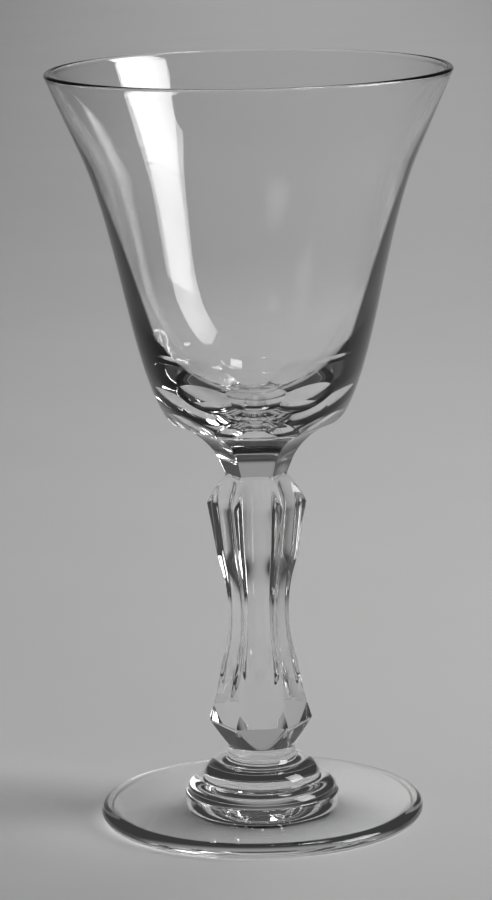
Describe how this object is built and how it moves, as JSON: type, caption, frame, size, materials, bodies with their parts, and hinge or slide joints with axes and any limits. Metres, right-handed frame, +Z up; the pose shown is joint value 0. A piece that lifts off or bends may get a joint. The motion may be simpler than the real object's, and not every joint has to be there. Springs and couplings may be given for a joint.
{
  "type": "sherry glass",
  "caption": "Small clear stemmed drinking glass with a flared bowl on a panelled base, a fluted six-sided baluster stem and a stepped round foot.",
  "frame": {"origin": "on the table, at the centre of the foot", "axes": "+Z up along the axis of the glass, -Y out of the middle of one flute, towards the camera"},
  "size_m": [0.0688, 0.0688, 0.13],
  "materials": {
    "clear_glass": "polished, clear and colourless"
  },
  "bodies": {
    "root": {"bowl": "clear_glass", "stem": "clear_glass", "foot": "clear_glass"}
  },
  "joints": []
}
